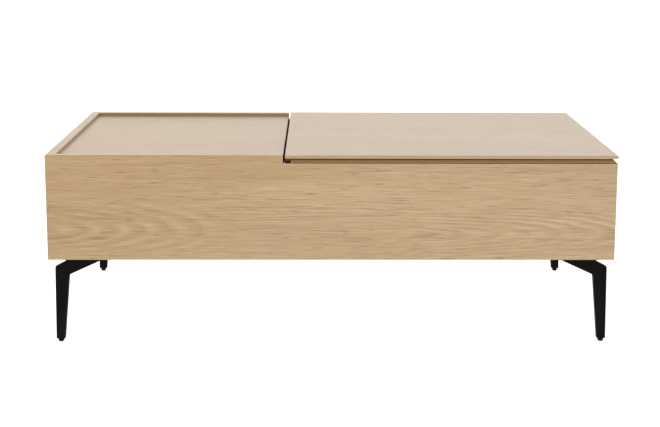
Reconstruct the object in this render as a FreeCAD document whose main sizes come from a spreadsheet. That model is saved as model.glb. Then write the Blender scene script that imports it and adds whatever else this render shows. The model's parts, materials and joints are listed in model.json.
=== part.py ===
# Lift-top coffee table, in millimetres.
# +Z is up, X runs along the table and the front faces -Y. The origin is on the floor, under the middle.
# The left part of the top is a fixed tray. The right part is a lid that two pairs of parallel arms carry
# up and forward, helped by a gas strut on each side. Every piece is drawn at rest, with the lid shut.
import FreeCAD
import Part
import math
import os
import re
import Sketcher
from FreeCAD import Placement, Rotation, Vector

doc = FreeCAD.newDocument("LiftTopTable")

sizes = {
    # case
    "caseLength": 1100, "caseDepth": 600, "tableHeight": 373.5, "legHeight": 168,
    "wall": 18, "bottomThick": 15, "dividerThick": 18, "trayThick": 15, "trayDrop": 6.5,
    "trayLength": 455, "reliefWidth": 14, "reliefCorner": 3, "bevel": 8.5, "landDrop": 7, "batten": 18,
    "blockSide": 28, "blockHeight": 120, "blockRise": 12, "edgeEase": 0.8, "trayEndEase": 1.5,
    "dowelInset": 40, "trayScrewInset": 60, "bumperInset": 60,
    # lid
    "lidOverhang": 1, "lidLip": 6, "lidThick": 18, "lidGap": 4, "coreGap": 5, "bumperRadius": 3.5,
    # legs
    "legThick": 14, "footInset": 19.5, "footSetback": 17, "footHalf": 8.3, "footSplay": 1.3,
    "bendOut": 7.8, "bendDrop": 16.4, "cornerIn": 18.9, "cornerDrop": 32.4,
    "armTopNear": 18.2, "armTopFar": 82.6, "legCornerRadius": 6, "legBendRadius": 2,
    "glideHeight": 6.8, "glideRadius": 5.8, "glideEdge": 2, "glideStem": 3, "glideStemLength": 10,
    "plateThick": 3, "plateLength": 92, "plateWidth": 54, "plateStart": 9, "plateHoleInset": 10,
    # lift arms, measured from the pivots
    "armLength": 240, "armWidth": 24, "armThick": 4, "restAngle": 12,
    "topPivotDrop": 17, "pivotSpanY": 70, "pivotSpanZ": 40, "frontPivotInset": 132,
    "steel": 3, "washerThick": 1, "washerRadius": 9, "axialPlay": 0.1,
    "pinRadius": 4, "pinHeadRadius": 7, "pinTailRadius": 6, "pinHead": 2, "pinFit": 0.08,
    "openPivotFit": 0.3,
    "bracketMargin": 22, "bracketCorner": 5, "bracketFoot": 10, "fixingInset": 12, "fixingBeside": 26,
    "lobe": 14, "flangeWidth": 24, "flangeReach": 26, "flangeEdge": 8,
    "tubeReach": 130, "tubeRadius": 8, "tubeWall": 1.5, "plugLength": 20, "boltRadius": 3,
    "boltHeadRadius": 6, "boltHead": 2.5,
    # gas struts
    "strutReach": 90, "strutBaseAngle": 78, "strutRadius": 7.5, "strutWall": 1, "strutEnd": 3,
    "strutSide": 19, "eyeRadius": 8, "eyeThick": 10, "eyeStem": 4, "eyeStemLength": 12,
    "eyePin": 3, "eyeShoulder": 5, "eyeHead": 2, "rodRadius": 3, "rodNeck": 19, "rodSpare": 22,
    "rodFit": 0.05, "pistonFit": 0.1, "pistonLength": 8, "glandLength": 8,
    # screws and dowels
    "screwCore": 2, "screwHead": 4, "screwLength": 14, "screwTip": 2, "longScrew": 28,
    "dowelRadius": 4, "dowelInWall": 10, "dowelInDivider": 20,
}

# Formulas in the names of the sheet, which the expressions below build on.
formulas = {
    "left": "0 - (caseLength + lidOverhang) / 2",
    "right": "(caseLength - lidOverhang) / 2",
    "halfDepth": "caseDepth / 2",
    "innerLeft": "left + wall",
    "innerRight": "right - wall",
    "innerHalf": "halfDepth - wall",
    "bottomTop": "legHeight + bottomThick",
    "trayTop": "tableHeight - trayDrop",
    "trayUnder": "trayTop - trayThick",
    "trayEnd": "left + trayLength",
    "dividerLeft": "trayEnd - dividerThick",
    "land": "tableHeight - landDrop",
    "groove": "land - bevel",
    "reliefEnd": "trayEnd + reliefWidth",
    "lidLeft": "trayEnd + lidGap",
    "lidRight": "right + lidOverhang",
    "lidUnder": "tableHeight - lidThick",
    # pivots of the arms, in the plane of the arms
    "upperFrontZ": "lidUnder - topPivotDrop",
    "frontZ": "upperFrontZ - armLength * sin(restAngle)",
    "frontY": "frontPivotInset - innerHalf",
    "rearY": "frontY + pivotSpanY",
    "rearZ": "frontZ - pivotSpanZ",
    "upperFrontY": "frontY + armLength * cos(restAngle)",
    "upperRearY": "upperFrontY + pivotSpanY",
    "upperRearZ": "upperFrontZ - pivotSpanZ",
    "tubeY": "frontY + tubeReach * cos(restAngle)",
    "tubeZ": "frontZ + tubeReach * sin(restAngle)",
    # A strut joins two points equally far from the front pivot, so it turns half as far as the arm does.
    "strutBaseY": "frontY + strutReach * cos(strutBaseAngle)",
    "strutBaseZ": "frontZ - strutReach * sin(strutBaseAngle)",
    "strutArmY": "frontY + strutReach * cos(restAngle)",
    "strutArmZ": "frontZ + strutReach * sin(restAngle)",
    "strutClosed": "2 * strutReach * sin((restAngle + strutBaseAngle) / 2)",
    "strutLean": "(restAngle - strutBaseAngle) / 2",
    "strutMouth": "strutClosed - rodNeck",
    "rodEnd": "strutClosed - rodSpare",
    # layers of a lift unit, counted from the wood that carries it
    "armNear": "steel + washerThick + axialPlay",
    "armFar": "armNear + armThick",
    "flangeNear": "armFar + axialPlay + washerThick",
    "flangeFar": "flangeNear + steel",
    "flangeFront": "upperFrontY - flangeReach",
    "flangeBack": "upperRearY + flangeReach",
    "flangeMiddle": "(flangeFront + flangeBack) / 2",
    # legs
    "legTop": "legHeight - plateThick",
    "bracketLow": "strutBaseZ - bracketFoot",
}

sheet = doc.addObject("Spreadsheet::Sheet", "Sizes")
for row, (alias, amount) in enumerate(sizes.items(), start=1):
    sheet.set(f"A{row}", alias)
    sheet.set(f"B{row}", str(amount))
    sheet.setAlias(f"B{row}", alias)
doc.recompute()

nodes = []
nearly = 1e-6  # what counts as nothing, in millimetres and in directions
countersinkAngle = 90


def expression(text):
    """A formula in plain names, as an expression on the sheet."""

    def swap(match):
        word = match.group(0)
        if word in formulas:
            return "(" + expression(formulas[word]) + ")"
        return "Sizes." + word if word in sizes else word

    return re.sub(r"\b[A-Za-z]\w*\b", swap, str(text))


def value(text):
    return float(sheet.evalExpression(expression(text)))


def bind(item, name, text):
    item.setExpression(name, expression(text))


def place(item, x="0", y="0", z="0", rotation=None, angle=None):
    """Puts an item at x, y, z. rotation is fixed, and angle turns the item about X by a formula."""
    turn = rotation or Rotation(Vector(1, 0, 0), value(angle) if angle else 0)
    item.Placement = Placement(Vector(value(x), value(y), value(z)), turn)
    bind(item, "Placement.Base.x", x)
    bind(item, "Placement.Base.y", y)
    bind(item, "Placement.Base.z", z)
    if angle:
        bind(item, "Placement.Rotation.Angle", angle)


def newBody(label, x="0", y="0", z="0", angle=None, keep=True):
    """An empty body. One that isn't kept is only a pattern that groups copy."""
    body = doc.addObject("PartDesign::Body", label)
    body.Label = label
    place(body, x, y, z, angle=angle)
    if keep:
        nodes.append(body)
    return body


def newSketch(body, plane, offset="0"):
    """A sketch on one of the body's own origin planes, moved along the plane's normal by offset."""
    sketch = body.newObject("Sketcher::SketchObject", body.Label + "Sketch")
    support = next(item for item in body.Origin.OriginFeatures if item.Role == plane + "_Plane")
    sketch.AttachmentSupport = [(support, "")]
    sketch.MapMode = "FlatFace"
    bind(sketch, "AttachmentOffset.Base.z", offset)
    return sketch


def fixPoint(sketch, geometry, point, x, y):
    """Ties one point of a sketch to two formulas. A zero becomes a place on the sketch's own axis."""
    for axis, line, text in (("X", -2, x), ("Y", -1, y)):
        if abs(value(text)) < nearly:
            sketch.addConstraint(Sketcher.Constraint("PointOnObject", geometry, point, line))
            continue
        rule = Sketcher.Constraint("Distance" + axis, -1, 1, geometry, point, value(text))
        name = f"point{axis}{geometry}"
        sketch.renameConstraint(sketch.addConstraint(rule), name)
        bind(sketch, ".Constraints." + name, text)


def drawOutline(sketch, points):
    corners = [Vector(value(x), value(y), 0) for x, y in points]
    first = sketch.GeometryCount
    count = len(points)
    for i, corner in enumerate(corners):
        sketch.addGeometry(Part.LineSegment(corner, corners[(i + 1) % count]))
    for i, (x, y) in enumerate(points):
        follower = first + (i + 1) % count
        sketch.addConstraint(Sketcher.Constraint("Coincident", first + i, 2, follower, 1))
        fixPoint(sketch, first + i, 1, x, y)


def drawCircle(sketch, x, y, radius):
    centre = Vector(value(x), value(y), 0)
    geometry = sketch.addGeometry(Part.Circle(centre, Vector(0, 0, 1), value(radius)))
    fixPoint(sketch, geometry, 3, x, y)
    name = f"radius{geometry}"
    rule = Sketcher.Constraint("Radius", geometry, value(radius))
    sketch.renameConstraint(sketch.addConstraint(rule), name)
    bind(sketch, ".Constraints." + name, radius)


def drawBar(sketch, length, width):
    """A bar with round ends, one centred on the origin and the other along the sketch's x."""
    far, half = value(length), value(width) / 2
    across = Vector(0, 0, 1)
    sketch.addGeometry(Part.ArcOfCircle(Part.Circle(Vector(), across, half), math.pi / 2, 3 * math.pi / 2))
    sketch.addGeometry(Part.LineSegment(Vector(0, -half, 0), Vector(far, -half, 0)))
    sketch.addGeometry(
        Part.ArcOfCircle(Part.Circle(Vector(far, 0, 0), across, half), -math.pi / 2, math.pi / 2)
    )
    sketch.addGeometry(Part.LineSegment(Vector(far, half, 0), Vector(0, half, 0)))
    for i in range(4):
        sketch.addConstraint(Sketcher.Constraint("Tangent", i, 2, (i + 1) % 4, 1))
    sketch.addConstraint(Sketcher.Constraint("Coincident", 0, 3, -1, 1))
    fixPoint(sketch, 2, 3, length, "0")
    sketch.renameConstraint(sketch.addConstraint(Sketcher.Constraint("Radius", 0, half)), "halfWidth")
    bind(sketch, ".Constraints.halfWidth", f"({width}) / 2")


def pad(body, sketch, length, side="Symmetric", reverse=False):
    feature = body.newObject("PartDesign::Pad", body.Label + "Pad")
    feature.Profile = sketch
    feature.SideType = side
    feature.Reversed = reverse
    bind(feature, "Length", length)
    doc.recompute()


def cut(body, sketch, length=None, reverse=False):
    """Cuts a sketch through the whole body, or to a depth, and makes sure that something was cut."""
    before = body.Shape.Volume
    feature = body.newObject("PartDesign::Pocket", body.Label + "Cut")
    feature.Profile = sketch
    feature.Reversed = reverse
    if length:
        bind(feature, "Length", length)
    else:
        feature.SideType = "Symmetric"
        feature.Type = "ThroughAll"
    doc.recompute()
    if body.Shape.Volume > before - nearly:
        raise RuntimeError("nothing was cut from " + body.Label)


def revolve(body, points, axis, plane="XZ"):
    """Turns an outline about one axis of its sketch."""
    sketch = newSketch(body, plane)
    drawOutline(sketch, points)
    feature = body.newObject("PartDesign::Revolution", body.Label + "Turned")
    feature.Profile = sketch
    feature.ReferenceAxis = (sketch, [axis])
    feature.Angle = 360
    doc.recompute()


def countersink(body, plane, offset, centres, reverse=False):
    """Clear holes for the wood screws, countersunk from the sketch's side."""
    sketch = newSketch(body, plane, offset)
    for x, y in centres:
        drawCircle(sketch, x, y, "screwCore")
    doc.recompute()
    hole = body.newObject("PartDesign::Hole", body.Label + "Holes")
    hole.Profile = sketch
    hole.Reversed = reverse
    hole.ThreadType = "None"
    hole.DepthType = "ThroughAll"
    hole.HoleCutType = "Countersink"
    hole.HoleCutCustomValues = True
    hole.HoleCutCountersinkAngle = countersinkAngle
    bind(hole, "Diameter", "2 * screwCore")
    bind(hole, "HoleCutDiameter", "2 * screwHead")
    doc.recompute()


def drill(body, plane, offset, centres, radius, depth, reverse=False):
    sketch = newSketch(body, plane, offset)
    for x, y in centres:
        drawCircle(sketch, x, y, radius)
    doc.recompute()
    cut(body, sketch, depth, reverse)


def roundEdges(body, along, radius, near=()):
    """Rounds the straight edges that run along an axis, or only those nearest to some points.

    The points are given as formulas in the body's own frame.
    """
    edges = []
    for number, edge in enumerate(body.Tip.Shape.Edges, start=1):
        if edge.Curve.TypeId == "Part::GeomLine" and abs(edge.Curve.Direction.dot(along)) > 1 - nearly:
            edges.append((number, edge.CenterOfMass))
    chosen = [number for number, _ in edges]
    if near:
        spots = [Vector(*(value(amount) for amount in point)) for point in near]
        chosen = [min(edges, key=lambda found: (found[1] - spot).Length)[0] for spot in spots]
    feature = body.newObject("PartDesign::Fillet", body.Label + "Rounded")
    feature.Base = (feature.BaseFeature or body.Tip, [f"Edge{number}" for number in chosen])
    bind(feature, "Radius", radius)
    doc.recompute()


def easeFaces(body, normal, radius):
    """Eases every edge of the flat faces that look along a direction or against it."""
    faces = [
        f"Face{number}" for number, face in enumerate(body.Tip.Shape.Faces, start=1)
        if face.Surface.TypeId == "Part::GeomPlane" and abs(face.Surface.Axis.dot(normal)) > 1 - nearly
    ]
    feature = body.newObject("PartDesign::Fillet", body.Label + "Eased")
    feature.Base = (feature.BaseFeature or body.Tip, faces)
    bind(feature, "Radius", radius)
    doc.recompute()


def group(label, pattern, places):
    """Copies of one pattern body, kept together as one node. Each place is x, y, z and a rotation."""
    copies = []
    for x, y, z, rotation in places:
        copy = doc.addObject("App::Link", label + "Copy")
        copy.LinkedObject = pattern
        place(copy, x, y, z, rotation=rotation)
        copies.append(copy)
    whole = doc.addObject("Part::Compound", label)
    whole.Label = label
    whole.Links = copies
    nodes.append(whole)


alongX = Vector(1, 0, 0)
alongY = Vector(0, 1, 0)
alongZ = Vector(0, 0, 1)
upright = Rotation()
towardsRight = Rotation(alongY, 90)
towardsLeft = Rotation(alongY, -90)
towardsBack = Rotation(alongX, -90)
towardsFront = Rotation(alongX, 90)
sides = {"left": 1, "right": -1}


def unitX(side, layer):
    """The x of a layer of one lift unit, counted inward from the wood that carries the unit."""
    return f"trayEnd + ({layer})" if side == "left" else f"innerRight - ({layer})"


# Places that several pieces share
bracketScrews = [
    ("frontY - fixingInset", "bracketLow + fixingInset"),
    ("strutBaseY + fixingBeside", "bracketLow + fixingInset"),
    ("frontY - fixingInset", "frontZ + fixingInset"),
    ("rearY + fixingInset", "rearZ + fixingInset"),
]
flangeScrews = ["flangeFront + fixingInset", "flangeMiddle", "flangeBack - fixingInset"]
traySides = {"front": -1, "back": 1}
dowelHeights = ["bottomTop + dowelInset", "trayUnder - dowelInset"]
dividerMiddle = "dividerLeft + dividerThick / 2"
trayScrewX = [
    "innerLeft + trayScrewInset", "(innerLeft + dividerLeft) / 2", "dividerLeft - trayScrewInset",
]


# ---- case
def longPanel(label, side):
    """The front (side -1) or back (side 1) panel: full height by the tray and lower under the lid."""
    body = newBody(label, y=f"{side} * (halfDepth - wall / 2)")
    outline = newSketch(body, "XZ")
    drawOutline(outline, [
        ("left", "legHeight"), ("right", "legHeight"), ("right", "land"), ("reliefEnd", "land"),
        ("reliefEnd", "groove"), ("trayEnd", "groove"), ("trayEnd", "tableHeight"), ("left", "tableHeight"),
    ])
    pad(body, outline, "wall")
    inner, outer = f"{-side} * wall / 2", f"{side} * wall / 2"
    trayMiddle = "(left + trayEnd) / 2"
    roundEdges(body, alongX, "edgeEase", near=[
        (trayMiddle, inner, "tableHeight"), (trayMiddle, outer, "tableHeight"), ("0", outer, "legHeight"),
    ])
    roundEdges(body, alongY, "reliefCorner", near=[("trayEnd", "0", "groove")])
    mitres = newSketch(body, "XY")
    drawOutline(mitres, [("left", inner), ("left + wall", inner), ("left", outer)])
    drawOutline(mitres, [("right", inner), ("right - wall", inner), ("right", outer)])
    cut(body, mitres)
    slope = newSketch(body, "YZ", "reliefEnd")
    drawOutline(slope, [(outer, "groove"), (outer, "land"), (f"{side} * (wall / 2 - bevel)", "land")])
    cut(body, slope, "right - reliefEnd", reverse=True)
    holes = [(dividerMiddle, height) for height in dowelHeights]
    drill(body, "XZ", f"{side} * wall / 2", holes, "dowelRadius", "dowelInWall", reverse=side < 0)


def endPanel(label, side, top):
    """The left or right panel, mitred to the long ones."""
    middle = "left + wall / 2" if side < 0 else "right - wall / 2"
    body = newBody(label, x=middle)
    outline = newSketch(body, "YZ")
    drawOutline(outline, [
        ("0 - halfDepth", "legHeight"), ("halfDepth", "legHeight"),
        ("halfDepth", top), ("0 - halfDepth", top),
    ])
    pad(body, outline, "wall")
    inner, outer = f"{-side} * wall / 2", f"{side} * wall / 2"
    eased = [(outer, "0", "legHeight")]
    if side < 0:
        eased += [(inner, "0", top), (outer, "0", top)]
    roundEdges(body, alongY, "edgeEase", near=eased)
    mitres = newSketch(body, "XY")
    for end in (-1, 1):
        drawOutline(mitres, [
            (inner, f"{end} * halfDepth"), (inner, f"{end} * innerHalf"), (outer, f"{end} * halfDepth"),
        ])
    cut(body, mitres)
    return body


def board(label, xs, ys, zs):
    """A plain board between two values on each axis."""
    body = newBody(label, z=zs[0])
    outline = newSketch(body, "XY")
    drawOutline(outline, [(xs[0], ys[0]), (xs[1], ys[0]), (xs[1], ys[1]), (xs[0], ys[1])])
    pad(body, outline, f"({zs[1]}) - ({zs[0]})", side="One side")
    return body


longPanel("front_panel", -1)
longPanel("back_panel", 1)
endPanel("left_panel", -1, "tableHeight")
rightPanel = endPanel("right_panel", 1, "land")
slope = newSketch(rightPanel, "XZ")
drawOutline(slope, [("wall / 2", "groove"), ("wall / 2", "land"), ("wall / 2 - bevel", "land")])
cut(rightPanel, slope)

bottom = board(
    "bottom_panel", ("innerLeft", "innerRight"), ("0 - innerHalf", "innerHalf"), ("legHeight", "bottomTop")
)
divider = board(
    "divider", ("dividerLeft", "trayEnd"), ("0 - innerHalf", "innerHalf"), ("bottomTop", "trayUnder")
)
tray = board(
    "tray_board", ("innerLeft", "trayEnd"), ("0 - innerHalf", "innerHalf"), ("trayUnder", "trayTop")
)

roundEdges(tray, alongY, "trayEndEase", near=[("trayEnd", "0", "trayThick")])

for name, side in traySides.items():
    ys = [f"{side} * innerHalf", f"{side} * (innerHalf - batten)"]
    if side > 0:
        ys.reverse()
    zs = ("trayUnder - batten", "trayUnder")
    piece = board(f"tray_batten_{name}", ("innerLeft", "dividerLeft"), ys, zs)
    holes = [(x, f"{side} * (innerHalf - batten / 2)") for x in trayScrewX]
    drill(piece, "XY", "0", holes, "screwCore", "batten", reverse=True)
board(
    "tray_batten_left", ("innerLeft", "innerLeft + batten"),
    ("batten - innerHalf", "innerHalf - batten"), ("trayUnder - batten", "trayUnder"),
)
trayHoles = [(x, f"{side} * (innerHalf - batten / 2)") for x in trayScrewX for side in (-1, 1)]
drill(tray, "XY", "0", trayHoles, "screwCore", "longScrew - batten", reverse=True)

for side in (-1, 1):
    holes = [("dividerThick / 2 + dividerLeft", f"{height} - bottomTop") for height in dowelHeights]
    drill(divider, "XZ", f"{-side} * innerHalf", holes, "dowelRadius", "dowelInDivider", reverse=side > 0)

block = newBody("cornerBlock", keep=False)
blockShape = newSketch(block, "XY")
drawOutline(blockShape, [("0", "0"), ("blockSide", "0"), ("0", "blockSide")])
pad(block, blockShape, "blockHeight", side="One side")
quarter = [Rotation(alongZ, turn) for turn in (0, 90, 180, 270)]
group("corner_blocks", block, [
    ("innerLeft", "0 - innerHalf", "bottomTop + blockRise", quarter[0]),
    ("innerRight", "0 - innerHalf", "bottomTop + blockRise", quarter[1]),
    ("innerRight", "innerHalf", "bottomTop + blockRise", quarter[2]),
    ("innerLeft", "innerHalf", "bottomTop + blockRise", quarter[3]),
])

dowel = newBody("dowel", keep=False)
dowelShape = newSketch(dowel, "XY")
drawCircle(dowelShape, "0", "0", "dowelRadius")
pad(dowel, dowelShape, "dowelInWall + dowelInDivider", side="One side")
group("divider_dowels", dowel, [
    (dividerMiddle, f"{side} * (innerHalf + dowelInWall)", height, turn)
    for side, turn in ((-1, towardsBack), (1, towardsFront))
    for height in dowelHeights
])

bumper = newBody("bumper", keep=False)
bumperShape = newSketch(bumper, "XY")
drawCircle(bumperShape, "0", "0", "bumperRadius")
pad(bumper, bumperShape, "landDrop - lidLip", side="One side")
bumperY = "innerHalf + (wall - bevel) / 2"
group("lid_bumpers", bumper, [
    (x, f"{side} * ({bumperY})", "land", upright)
    for x in ("reliefEnd + bumperInset", "right - bumperInset") for side in (-1, 1)
])

# ---- screws, which point up from the middle of the head
def woodScrew(label, length):
    body = newBody(label, keep=False)
    revolve(body, [
        ("0", "0"), ("screwHead", "0"), ("screwCore", "screwHead - screwCore"),
        ("screwCore", f"{length} - screwTip"), ("0", length),
    ], "V_Axis")
    return body


shortScrew = woodScrew("shortScrew", "screwLength")
boardScrew = woodScrew("boardScrew", "longScrew + screwHead - screwCore")
group("tray_screws", boardScrew, [
    (x, y, "trayUnder - batten - (screwHead - screwCore)", upright) for x, y in trayHoles
])


# ---- legs
def leg(name, sideX, sideY):
    """A bent, tapering leg that lies in an upright plane along X, with its plate and its glide."""
    footX = "left + footInset" if sideX < 0 else "right - footInset"
    footY = f"{sideY} * (halfDepth - footSetback)"

    def inward(distance):
        return f"{-sideX} * ({distance})"

    body = newBody(f"leg_{name}", footX, footY)
    outline = newSketch(body, "XZ")
    drawOutline(outline, [
        (inward("0 - footHalf - footSplay"), "glideHeight"),
        (inward("footHalf - footSplay"), "glideHeight"),
        (inward("cornerIn"), "legHeight - cornerDrop"), (inward("armTopFar"), "legTop"),
        (inward("armTopNear"), "legTop"), (inward("0 - bendOut"), "legHeight - bendDrop"),
    ])
    pad(body, outline, "legThick")
    roundEdges(body, alongY, "legCornerRadius", near=[(inward("cornerIn"), "0", "legHeight - cornerDrop")])
    roundEdges(body, alongY, "legBendRadius", near=[(inward("0 - bendOut"), "0", "legHeight - bendDrop")])
    easeFaces(body, alongY, "edgeEase")
    stem = [(inward("0 - footSplay"), "0")]
    drill(body, "XY", "glideHeight", stem, "glideStem", "glideStemLength", reverse=True)

    plate = newBody(f"leg_plate_{name}", footX, footY, "legTop")
    shape = newSketch(plate, "XY")
    near, far = inward("plateStart"), inward("plateStart + plateLength")
    outer, inner = f"{sideY} * legThick / 2", f"{-sideY} * (plateWidth - legThick / 2)"
    drawOutline(shape, [(near, outer), (far, outer), (far, inner), (near, inner)])
    pad(plate, shape, "plateThick", side="One side")
    roundEdges(plate, alongZ, "bracketCorner")
    holes = [
        (inward(x), f"{-sideY} * ({y})")
        for x in ("plateStart + plateHoleInset", "plateStart + plateLength - plateHoleInset")
        for y in ("legThick / 2 + plateHoleInset", "plateWidth - legThick / 2 - plateHoleInset")
    ]
    countersink(plate, "XY", "0", holes, reverse=True)

    glide = newBody(f"glide_{name}", f"{footX} + {inward('0 - footSplay')}", footY)
    revolve(glide, [
        ("0", "0"), ("glideRadius - glideEdge", "0"), ("glideRadius", "glideEdge"),
        ("glideRadius", "glideHeight"), ("glideStem", "glideHeight"),
        ("glideStem", "glideHeight + glideStemLength"),
        ("0", "glideHeight + glideStemLength"),
    ], "V_Axis")
    return [(f"{footX} + {x}", f"{footY} + {y}") for x, y in holes]


legHoles = []
for nameY, sideY in (("front", -1), ("back", 1)):
    for nameX, sideX in (("left", -1), ("right", 1)):
        legHoles += leg(f"{nameY}_{nameX}", sideX, sideY)
drill(bottom, "XY", "0", legHoles, "screwCore", "screwLength - plateThick", reverse=True)
group("leg_screws", shortScrew, [(x, y, "legTop", upright) for x, y in legHoles])


# ---- lid
lid = newBody("lid_panel", z="tableHeight - lidLip")
lip = newSketch(lid, "XY")
lipY = "halfDepth + lidOverhang"
drawOutline(lip, [
    ("lidLeft", f"0 - ({lipY})"), ("lidRight", f"0 - ({lipY})"), ("lidRight", lipY), ("lidLeft", lipY),
])
pad(lid, lip, "lidLip", side="One side")
roundEdges(lid, alongZ, "edgeEase")
easeFaces(lid, alongZ, "edgeEase")
core = newSketch(lid, "XY")
coreY = "innerHalf - coreGap"
drawOutline(core, [
    ("lidLeft", f"0 - ({coreY})"), ("innerRight - coreGap", f"0 - ({coreY})"),
    ("innerRight - coreGap", coreY), ("lidLeft", coreY),
])
pad(lid, core, "lidThick - lidLip", side="One side", reverse=True)


# ---- lift mechanism
def baseBracket(name):
    body = newBody(f"base_bracket_{name}", x=unitX(name, "steel / 2"))
    outline = newSketch(body, "YZ")
    drawOutline(outline, [
        ("frontY - bracketMargin", "bracketLow"), ("strutBaseY + bracketMargin", "bracketLow"),
        ("rearY + bracketMargin", "rearZ - bracketMargin"),
        ("rearY + bracketMargin", "rearZ + bracketMargin"),
        ("frontY + bracketMargin", "frontZ + bracketMargin"),
        ("frontY - bracketMargin", "frontZ + bracketMargin"),
    ])
    pad(body, outline, "steel")
    roundEdges(body, alongX, "bracketCorner")
    pivots = [("frontY", "frontZ"), ("rearY", "rearZ"), ("strutBaseY", "strutBaseZ")]
    drill(body, "YZ", "0 - steel / 2", pivots, "pinRadius", "steel", reverse=True)
    countersink(body, "YZ", f"{sides[name]} * steel / 2", bracketScrews, reverse=name == "right")


def liftArm(label, side, y, z, holes):
    """A bar with round ends, along its own Y from its lower pivot. Each hole is a reach and a radius."""
    body = newBody(label, unitX(side, "armNear + armThick / 2"), y, z, angle="restAngle")
    outline = newSketch(body, "YZ")
    drawBar(outline, "armLength", "armWidth")
    pad(body, outline, "armThick")
    bores = newSketch(body, "YZ")
    for reach, radius in holes:
        drawCircle(bores, reach, "0", radius)
    cut(body, bores)


def topBracket(name):
    """A steel angle: an upright flange beside the arms and a level one under the lid."""
    body = newBody(f"top_bracket_{name}", x=unitX(name, "flangeNear + steel / 2"))
    outline = newSketch(body, "YZ")
    drawOutline(outline, [
        ("flangeFront", "lidUnder"), ("flangeFront", "lidUnder - flangeEdge"),
        ("upperFrontY - lobe", "upperFrontZ - lobe"), ("upperRearY - lobe", "upperRearZ - lobe"),
        ("upperRearY + lobe", "upperRearZ - lobe"), ("flangeBack", "lidUnder - flangeEdge"),
        ("flangeBack", "lidUnder"),
    ])
    pad(body, outline, "steel")
    roundEdges(body, alongX, "bracketCorner", near=[
        ("0", "upperRearY + lobe", "upperRearZ - lobe"), ("0", "upperRearY - lobe", "upperRearZ - lobe"),
    ])
    bores = newSketch(body, "YZ")
    drawCircle(bores, "upperFrontY", "upperFrontZ", "pinRadius")
    drawCircle(bores, "upperRearY", "upperRearZ", "pinRadius")
    cut(body, bores)
    inward = sides[name]
    flange = newSketch(body, "XY", "lidUnder - steel")
    start, end = f"{inward} * steel / 2", f"{inward} * (steel / 2 + flangeWidth)"
    drawOutline(flange, [
        (start, "flangeFront"), (end, "flangeFront"), (end, "flangeBack"), (start, "flangeBack"),
    ])
    pad(body, flange, "steel", side="One side")
    holes = [(f"{inward} * (steel / 2 + flangeWidth / 2)", along) for along in flangeScrews]
    countersink(body, "XY", "lidUnder - steel", holes, reverse=True)


for name in sides:
    baseBracket(name)
for name in sides:
    liftArm(f"front_arm_{name}", name, "frontY", "frontZ", [
        ("0", "pinRadius + pinFit"), ("armLength", "pinRadius + pinFit"),
        ("strutReach", "eyePin"), ("tubeReach", "boltRadius"),
    ])
for name in sides:
    liftArm(f"rear_arm_{name}", name, "rearY", "rearZ", [
        ("0", "pinRadius + pinFit"), ("armLength", "pinRadius + openPivotFit"),
    ])
for name in sides:
    topBracket(name)

flangeHoles = [
    (unitX(name, "flangeFar + flangeWidth / 2"), along) for name in sides for along in flangeScrews
]
drill(
    lid, "XY", "lidLip - lidThick", flangeHoles, "screwCore", "screwLength - steel", reverse=True
)
group("top_bracket_screws", shortScrew, [(x, y, "lidUnder - steel", upright) for x, y in flangeHoles])

bracketHoles = {"left": divider, "right": rightPanel}
for name, panel in bracketHoles.items():
    drop = "bottomTop" if name == "left" else "0"
    holes = [(y, f"{z} - ({drop})") for y, z in bracketScrews]
    face = "trayEnd" if name == "left" else "0 - wall / 2"
    drill(panel, "YZ", face, holes, "screwCore", "screwLength - steel", reverse=name == "right")
group("base_bracket_screws", shortScrew, [
    (unitX(name, "steel"), y, z, towardsLeft if name == "left" else towardsRight)
    for name in sides for y, z in bracketScrews
])

inwards = {"left": towardsRight, "right": towardsLeft}


def turnedPin(label, points):
    """A pin along its own Z, from steps given as (distance, radius) pairs."""
    body = newBody(label, keep=False)
    outline = [("0", points[0][0])]
    for start, end, radius in points:
        outline += [(radius, start), (radius, end)]
    outline.append(("0", points[-1][1]))
    revolve(body, outline, "V_Axis")
    return body


basePin = turnedPin("basePin", [
    ("0", "armFar + axialPlay", "pinRadius"),
    ("armFar + axialPlay", "armFar + axialPlay + pinHead", "pinHeadRadius"),
])
group("base_pivot_pins", basePin, [
    (unitX(name, "0"), y, z, inwards[name])
    for name in sides for y, z in (("frontY", "frontZ"), ("rearY", "rearZ"))
])
topPin = turnedPin("topPin", [
    ("armNear - axialPlay - pinHead", "armNear - axialPlay", "pinHeadRadius"),
    ("armNear - axialPlay", "flangeFar", "pinRadius"),
    ("flangeFar", "flangeFar + pinHead", "pinTailRadius"),
])
group("top_pivot_pins", topPin, [
    (unitX(name, "0"), y, z, inwards[name])
    for name in sides for y, z in (("upperFrontY", "upperFrontZ"), ("upperRearY", "upperRearZ"))
])
washer = newBody("washer", keep=False)
washerShape = newSketch(washer, "XY")
drawCircle(washerShape, "0", "0", "washerRadius")
drawCircle(washerShape, "0", "0", "pinRadius")
pad(washer, washerShape, "washerThick", side="One side")
group("base_pivot_washers", washer, [
    (unitX(name, "steel"), y, z, inwards[name])
    for name in sides for y, z in (("frontY", "frontZ"), ("rearY", "rearZ"))
])
group("top_pivot_washers", washer, [
    (unitX(name, "flangeNear - washerThick"), y, z, inwards[name])
    for name in sides for y, z in (("upperFrontY", "upperFrontZ"), ("upperRearY", "upperRearZ"))
])

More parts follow.
